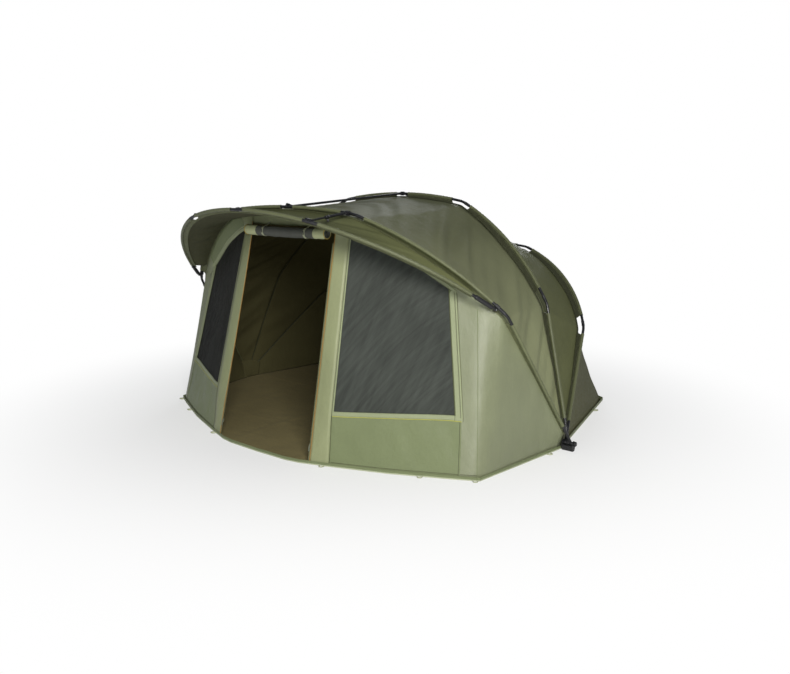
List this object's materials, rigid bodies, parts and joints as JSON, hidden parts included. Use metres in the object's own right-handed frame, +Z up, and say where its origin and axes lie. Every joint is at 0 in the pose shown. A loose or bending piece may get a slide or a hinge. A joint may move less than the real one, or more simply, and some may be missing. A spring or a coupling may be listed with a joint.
{
  "type": "bivvy tent",
  "caption": "Domed bivvy tent with hooped ribs fanned from side hubs, a hinged front peak, brace bars, cloth shell, mesh front windows, rolled-up door and groundsheet.",
  "frame": {"origin": "on the ground under the middle of the ground sheet, midway between the two hubs", "axes": "+X to the right of someone facing the door, the door faces -Y, +Z up"},
  "size_m": [3.2296, 2.9797, 1.6246],
  "materials": {
    "pole": "semi-gloss black",
    "moulding": "satin black",
    "steel": "brushed",
    "roof_cloth": "coated dark olive cloth with a soft sheen",
    "wall_cloth": "coated olive green cloth, matte",
    "web_cloth": "dark olive pole sleeve cloth",
    "mesh": "fine black insect mesh",
    "ground_cloth": "heavy brown coated cloth",
    "webbing": "pale olive webbing",
    "zip": "olive zip tape"
  },
  "bodies": {
    "root": {"groundsheet": "ground_cloth", "ground_hem": "webbing", "hub_block_L": "moulding", "hub_block_R": "moulding", "hub_bolt_L": "steel", "hub_bolt_R": "steel", "mid_leg_L": "pole", "mid_leg_R": "pole", "mid_shoulder_L": "pole", "mid_shoulder_R": "pole", "mid_crown": "pole", "mid_sleeve": "web_cloth", "crown_clamp": "moulding", "roof_front": "roof_cloth", "roof_rear": "roof_cloth", "rear_wall": "roof_cloth", "side_wall_L": "wall_cloth", "side_wall_R": "wall_cloth", "front_wall_L": "wall_cloth", "front_wall_R": "wall_cloth", "window_mesh_L": "mesh", "window_mesh_R": "mesh", "zip_tape_L": "zip", "zip_tape_R": "zip"},
    "front_rib": {"front_leg_L": "pole", "front_leg_R": "pole", "front_shoulder_L": "pole", "front_shoulder_R": "pole", "front_crown": "pole", "front_sleeve": "web_cloth", "peak_bracket_L": "moulding", "peak_bracket_R": "moulding", "bar_clamp_L": "moulding", "bar_clamp_R": "moulding", "peak_panel": "roof_cloth", "door_header": "wall_cloth", "door_roll": "wall_cloth"},
    "rear_rib": {"rear_leg_L": "pole", "rear_leg_R": "pole", "rear_shoulder_L": "pole", "rear_shoulder_R": "pole", "rear_crown": "pole", "rear_sleeve": "web_cloth"},
    "peak": {"peak_side_L": "pole", "peak_side_R": "pole", "peak_crown": "pole", "peak_sleeve": "web_cloth"},
    "front_brace": {"front_bar": "pole"},
    "rear_brace": {"rear_bar": "pole"},
    "peak_brace_L": {"peak_bar_L": "pole", "peak_rod_L": "pole"},
    "peak_brace_R": {"peak_bar_R": "pole", "peak_rod_R": "pole"},
    "brace_lock_L": {"bar_knob_L": "moulding"},
    "brace_lock_R": {"bar_knob_R": "moulding"},
    "hub_lock_L": {"hub_knob_L": "moulding"},
    "hub_lock_R": {"hub_knob_R": "moulding"},
    "door_zip_L": {"zip_slider_L": "steel"},
    "door_zip_R": {"zip_slider_R": "steel"}
  },
  "joints": [
    {"name": "front_fold", "type": "hinge", "parent": "root", "child": "front_rib", "pos_m": [0, 0, 0.05], "axis": [-1, 0, 0], "range_deg": [0, 33], "deforming": ["roof_front", "side_wall_L", "side_wall_R", "front_wall_L", "front_wall_R", "window_mesh_L", "window_mesh_R"]},
    {"name": "rear_fold", "type": "hinge", "parent": "root", "child": "rear_rib", "pos_m": [0, 0, 0.05], "axis": [1, 0, 0], "range_deg": [0, 27], "deforming": ["roof_rear", "rear_wall"]},
    {"name": "peak_fold", "type": "hinge", "parent": "front_rib", "child": "peak", "pos_m": [0, -0.61117, 0.97603], "axis": [-1, 0, 0], "range_deg": [0, 15], "deforming": ["peak_panel"]},
    {"name": "front_brace_swing", "type": "hinge", "parent": "root", "child": "front_brace", "pos_m": [0, 0.23601, 1.60998], "axis": [-1, 0, 0], "range_deg": [0, 56.1]},
    {"name": "rear_brace_swing", "type": "hinge", "parent": "root", "child": "rear_brace", "pos_m": [0, 0.29001, 1.60998], "axis": [1, 0, 0], "range_deg": [0, 43.2]},
    {"name": "peak_brace_swing_L", "type": "hinge", "parent": "front_rib", "child": "peak_brace_L", "pos_m": [-0.50027, -0.94294, 1.51411], "axis": [-1, 0, 0], "range_deg": [0, 46.5]},
    {"name": "peak_brace_swing_R", "type": "hinge", "parent": "front_rib", "child": "peak_brace_R", "pos_m": [0.50027, -0.94294, 1.51411], "axis": [-1, 0, 0], "range_deg": [0, 46.5]},
    {"name": "brace_lock_turn_L", "type": "hinge", "parent": "peak_brace_L", "child": "brace_lock_L", "pos_m": [-0.50027, -1.09127, 1.48852], "axis": [0, 0.1088, -0.9941], "range_deg": [0, 180]},
    {"name": "brace_lock_turn_R", "type": "hinge", "parent": "peak_brace_R", "child": "brace_lock_R", "pos_m": [0.50027, -1.09127, 1.48852], "axis": [0, 0.1088, -0.9941], "range_deg": [0, 180]},
    {"name": "hub_lock_turn_L", "type": "hinge", "parent": "root", "child": "hub_lock_L", "pos_m": [-1.56, 0, 0.05], "axis": [-1, 0, 0], "range_deg": [0, 360]},
    {"name": "hub_lock_turn_R", "type": "hinge", "parent": "root", "child": "hub_lock_R", "pos_m": [1.56, 0, 0.05], "axis": [1, 0, 0], "range_deg": [0, 360]},
    {"name": "door_zip_slide_L", "type": "slide", "parent": "root", "child": "door_zip_L", "axis": [0.0266, 0.2177, 0.9756], "range_m": [-0.04, 1.2]},
    {"name": "door_zip_slide_R", "type": "slide", "parent": "root", "child": "door_zip_R", "axis": [-0.0266, 0.2177, 0.9756], "range_m": [-0.04, 1.2]}
  ],
  "couplings": [
    {"joint": "front_brace_swing", "follows": "front_fold", "ratio": 1.7},
    {"joint": "rear_brace_swing", "follows": "rear_fold", "ratio": 1.6},
    {"joint": "peak_brace_swing_L", "follows": "peak_fold", "ratio": 3.1},
    {"joint": "peak_brace_swing_R", "follows": "peak_fold", "ratio": 3.1}
  ]
}
